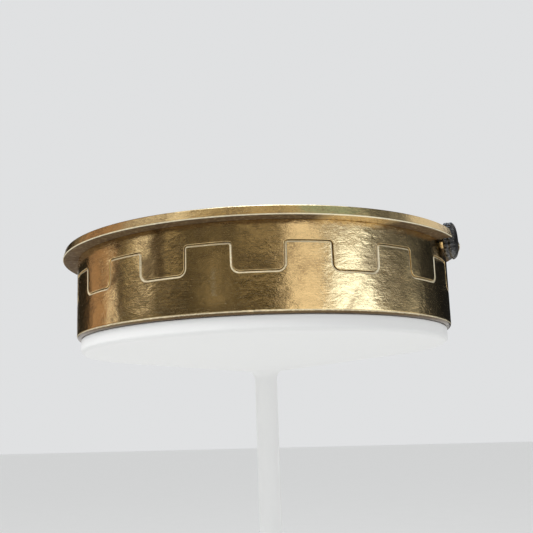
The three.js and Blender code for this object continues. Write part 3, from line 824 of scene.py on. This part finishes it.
def dress_nodes():
    dress(["case_lid"], worn_brass("lid_brass", 31.0, polish=0.14), 0.06 * MM)
    dress(numbered("lid_screw", 4), steel("lid_screw_steel", 2.0), 0.04 * MM)
    dress(["dial"], enamel("dial_enamel"), 0.05 * MM)
    dress(["crystal_gasket"], rubber("gasket_rubber"))
    plates = ["main_plate", "bridge", "movement_ring", "stem_block", "click_post"]
    dress(plates, gilt("plate_gilt", 1.0), 0.05 * MM)
    dress(numbered("pillar", 3), gilt("pillar_gilt", 5.0), 0.05 * MM)
    dress(["contrate_wheel", "carry_wheel", "tens_wheel"], gilt("wheel_gilt", 9.0))
    dress(["crown_tube"], worn_brass("tube_brass", 41.0))
    dress([*numbered("bridge_screw", 3), "click_screw"], blued_steel("screw_blue"), 0.04 * MM)
    dress(["units_hand", "tens_hand"], blued_steel("hand_blue"), 0.05 * MM)
    arbors = ["centre_arbor", "centre_pinion", "star_wheel", "carry_arbor", "tens_arbor"]
    dress(arbors, steel("arbor_steel", 4.0))
    dress(["click_spring"], steel("spring_steel", 6.0, 0.5))
    dress(["stem", "stem_pinion"], steel("stem_steel", 8.0))


def build_case():
    piece(case_cup(), "case", "case_brass", "case_cup")
    piece(case_ring(), "case", "case_brass", "case_ring")
    piece(bezel(), "case", "case_brass", "bezel")
    piece(crystal(), "case", "crystal", "crystal")
    piece(crown(), "winder", "crown_steel", "crown")


# ---------------------------------------------------------------- stage

def towards(azimuth, elevation, distance):
    """A place seen from the object: azimuth 0 is under the camera's side, positive to the picture's right."""
    a = math.radians(VIEW_TURN - 90 + azimuth)
    e = math.radians(elevation)
    return Vector((math.cos(a) * math.cos(e), math.sin(a) * math.cos(e), math.sin(e))) * distance


def glow(name, color, strength):
    material = bpy.data.materials.new(name)
    material.use_nodes = True
    nodes = material.node_tree.nodes
    nodes.clear()
    light = nodes.new("ShaderNodeEmission")
    light.inputs["Color"].default_value = (*color, 1)
    light.inputs["Strength"].default_value = strength
    end = nodes.new("ShaderNodeOutputMaterial")
    material.node_tree.links.new(light.outputs[0], end.inputs["Surface"])
    return material


def card(name, azimuths, elevations, color, strength, distance=0.5):
    """A curved studio card round the object, out of the camera's sight and seen only in what is polished."""
    columns, rows = 8, 4
    points, faces = [], []
    for j in range(rows + 1):
        for i in range(columns + 1):
            azimuth = azimuths[0] + (azimuths[1] - azimuths[0]) * i / columns
            low, high = (level(azimuth) if callable(level) else level for level in elevations)
            place = towards(azimuth, low + (high - low) * j / rows, distance)
            points.append(tuple(place + Vector((0, 0, VIEW_TARGET_Z))))
    for j in range(rows):
        for i in range(columns):
            a = j * (columns + 1) + i
            faces.append([a, a + 1, a + columns + 2, a + columns + 1])
    mesh = bpy.data.meshes.new(name)
    mesh.from_pydata(points, [], faces)
    thing = add_object(name, mesh, glow(name + "_light", color, strength))
    thing.visible_camera = False
    thing.visible_shadow = False
    thing.visible_diffuse = False
    return thing


def tooth_level(azimuth):
    """The elevation whose reflection lies at the teeth's height on the wall."""
    return 10.7 - 1.6 * (azimuth / 150) ** 2


ORANGE = (1.0, 0.66, 0.44)
WARM = (1.0, 0.86, 0.62)
YELLOW = (1.0, 0.92, 0.84)
CREAM = (1.0, 0.97, 0.95)
WHITE = (0.86, 1.0, 1.25)
GREEN = (0.74, 1.0, 0.95)
GREY = (0.9, 0.95, 1.0)

# Cards in tiers round the object: azimuth from, to, strength, tint
LOW_TIER = (
    (-126, -123, 0.06, ORANGE), (-123, -101, 0.4, ORANGE), (-101, -95, 1.1, CREAM), (-95, -76, 0.08, WARM),
    (-76, -68, 0.17, WARM), (-68, -59, 0.1, WARM), (-59, -41, 0.02, WARM), (-41, -32, 0.13, WARM),
    (-32, -21, 0.32, WARM), (-21, -14, 0.12, WARM), (-14, 14.5, 0.02, WARM), (14.5, 33, 0.88, YELLOW),
    (33, 40, 0.62, YELLOW), (40, 65, 2.1, WHITE), (65, 75, 0.36, YELLOW), (75, 103, 0.3, GREY),
    (103, 112, 0.05, GREY), (112, 124, 0.04, GREY), (124, 165, 0.012, GREY), (165, 205, 0.5, CREAM),
    (205, 234, 0.02, WARM),
)
HIGH_TIER = (
    (-126, -94, 0.34, ORANGE), (-94, -86, 0.09, WARM), (-86, -78, 0.45, WARM), (-78, -67, 1.0, CREAM),
    (-67, -59, 0.2, WARM), (-59, -50, 0.45, WARM), (-50, -14, 0.13, WARM), (-14, 13, 0.34, WARM),
    (13, 33, 0.9, YELLOW), (33, 40, 0.33, YELLOW), (40, 60, 0.5, CREAM), (60, 67, 0.2, GREY),
    (67, 85, 0.11, GREY), (85, 103, 0.075, GREY), (103, 112, 0.045, GREY), (112, 165, 0.012, GREY),
    (165, 205, 0.5, CREAM), (205, 234, 0.02, WARM),
)
RISE_TIER = (
    (-126, -92, 0.4, ORANGE), (-92, -50, 0.4, CREAM), (-50, 13, 0.15, WARM), (13, 66, 0.6, CREAM),
    (66, 100, 0.25, GREY), (100, 200, 0.7, CREAM), (200, 234, 0.15, WARM),
)
UPPER_TIER = (
    (-126, -84, 0.4, ORANGE), (-84, -44, 0.9, CREAM), (-44, 26, 0.45, WARM), (26, 66, 0.42, GREEN),
    (66, 110, 0.06, GREY), (110, 150, 0.05, GREY), (150, 190, 0.8, CREAM), (190, 234, 0.03, WARM),
)
SKIRT = (
    (-126, -95, 0.35, ORANGE), (-95, -55, 0.2, CREAM), (-55, -20, 0.1, WARM), (-20, 14, 0.12, WARM),
    (14, 36, 1.2, YELLOW), (36, 76, 2.2, WHITE), (76, 105, 0.7, CREAM), (105, 165, 0.06, GREY),
    (165, 205, 0.7, CREAM), (205, 234, 0.2, WARM),
)


def studio_cards():
    tiers = (
        ("skirt", SKIRT, (-5, 4)), ("low", LOW_TIER, (4, tooth_level)),
        ("high", HIGH_TIER, (tooth_level, 20)), ("rise", RISE_TIER, (20, 38)),
        ("upper", UPPER_TIER, (38, 60)))
    for tier, cards, elevations in tiers:
        for i, (start, end, strength, tint) in enumerate(cards):
            card(f"{tier}_card_{i + 1}", (start, end), elevations, tint, strength)
    card("overhead_card", (0, 360), (60, 72), WHITE, 1.6)
    card("zenith_card", (0, 360), (72, 89), WHITE, 6.0)


def ground():
    """A pale floor, and a slim turned stand under the case: the camera looks up past it."""
    pale = paper("stage_card", (0.86, 0.86, 0.85))
    drop, half = FLOOR_DROP, FLOOR_HALF
    mesh = bpy.data.meshes.new("floor")
    mesh.from_pydata([(-half, -half, -drop), (half, -half, -drop), (half, half, -drop), (-half, half, -drop)],
                     [], [(0, 1, 2, 3)])
    floor = add_object("floor", mesh, pale)
    plate, top = 21.5 * MM, -0.01 * MM
    stand = turned("stand", [
        (0.1 * MM, -drop, 0.01 * MM), (24 * MM, -drop, 0.2 * MM), (24 * MM, 2 * MM - drop, 1 * MM),
        (1.3 * MM, 8 * MM - drop, 1 * MM), (1.3 * MM, -4 * MM, 1 * MM), (plate, -1.6 * MM, 0.5 * MM),
        (plate, top, 0.1 * MM), (0.1 * MM, top, 0.01 * MM)], pale, 180, 4)


def key_light():
    """A soft lamp above and to the left, for what isn't polished."""
    data = bpy.data.lights.new("key", "AREA")
    data.shape, data.size, data.energy = "DISK", 0.35, 2.2
    lamp = bpy.data.objects.new("key", data)
    bpy.context.scene.collection.objects.link(lamp)
    lamp.location = towards(-50, 58, 0.6)
    lamp.rotation_euler = (-lamp.location).to_track_quat("-Z", "Y").to_euler()
    lamp.visible_glossy = False


def world():
    sky = bpy.data.worlds.new("studio")
    bpy.context.scene.world = sky
    sky.use_nodes = True
    nodes = sky.node_tree.nodes
    background = nodes["Background"]
    background.inputs["Color"].default_value = (0.93, 0.94, 0.95, 1)
    background.inputs["Strength"].default_value = 0.8


def camera():
    data = bpy.data.cameras.new("camera")
    data.lens = LENS
    data.sensor_width = 36
    data.clip_start, data.clip_end = 0.005, 10
    thing = bpy.data.objects.new("camera", data)
    bpy.context.scene.collection.objects.link(thing)
    target = Vector((0, 0, VIEW_TARGET_Z))
    place = target + towards(0, VIEW_ELEVATION, VIEW_DISTANCE)
    ahead = (target - place).normalized()
    right = ahead.cross(Vector((0, 0, 1))).normalized()
    up = right.cross(ahead)
    roll = math.radians(VIEW_ROLL)
    across = right * math.cos(roll) - up * math.sin(roll)
    upright = right * math.sin(roll) + up * math.cos(roll)
    aim = (ahead + across * AIM_RIGHT + upright * AIM_UP).normalized()
    across = aim.cross(upright).normalized()
    upright = across.cross(aim)
    turn = Matrix((across, upright, -aim)).transposed().to_4x4()
    thing.matrix_world = Matrix.Translation(place) @ turn
    bpy.context.scene.camera = thing


def view_settings():
    settings = bpy.context.scene.view_settings
    settings.view_transform = "Standard"
    settings.look = "None"


build_case()
dial_print()
dress_nodes()
studio_cards()
key_light()
ground()
world()
camera()
view_settings()
